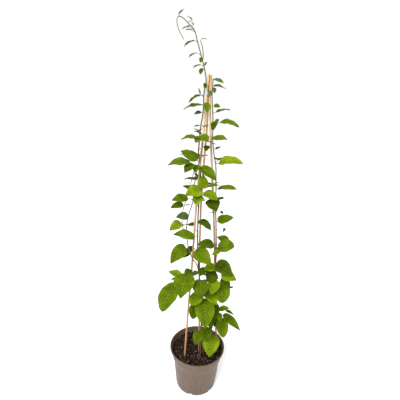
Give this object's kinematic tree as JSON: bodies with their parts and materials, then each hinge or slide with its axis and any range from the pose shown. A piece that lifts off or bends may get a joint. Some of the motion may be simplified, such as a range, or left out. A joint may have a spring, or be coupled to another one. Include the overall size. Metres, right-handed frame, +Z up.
{
  "type": "potted hardy kiwi",
  "caption": "Climbing vine with ovate leaves twining up split canes in a round tapered nursery pot filled with soil.",
  "frame": {"origin": "middle of the pot's flat underside", "axes": "+Z up along the pot's axis, -Y towards the front, +X to the right seen from the front"},
  "size_m": [0.2101, 0.1813, 0.9456],
  "materials": {
    "pot": "satin moulded",
    "soil": "loose bark compost",
    "cane": "split bamboo, dry",
    "tie": "matte",
    "leafy": "semi-gloss leaf, darker stems"
  },
  "bodies": {
    "root": {"pot": "pot", "soil": "soil", "cane_left": "cane", "cane_middle": "cane", "cane_right": "cane", "tie_top": "tie", "tie_lower": "tie", "main_stem": "leafy", "right_stem": "leafy", "left_stem": "leafy", "front_shoot": "leafy"}
  },
  "joints": []
}
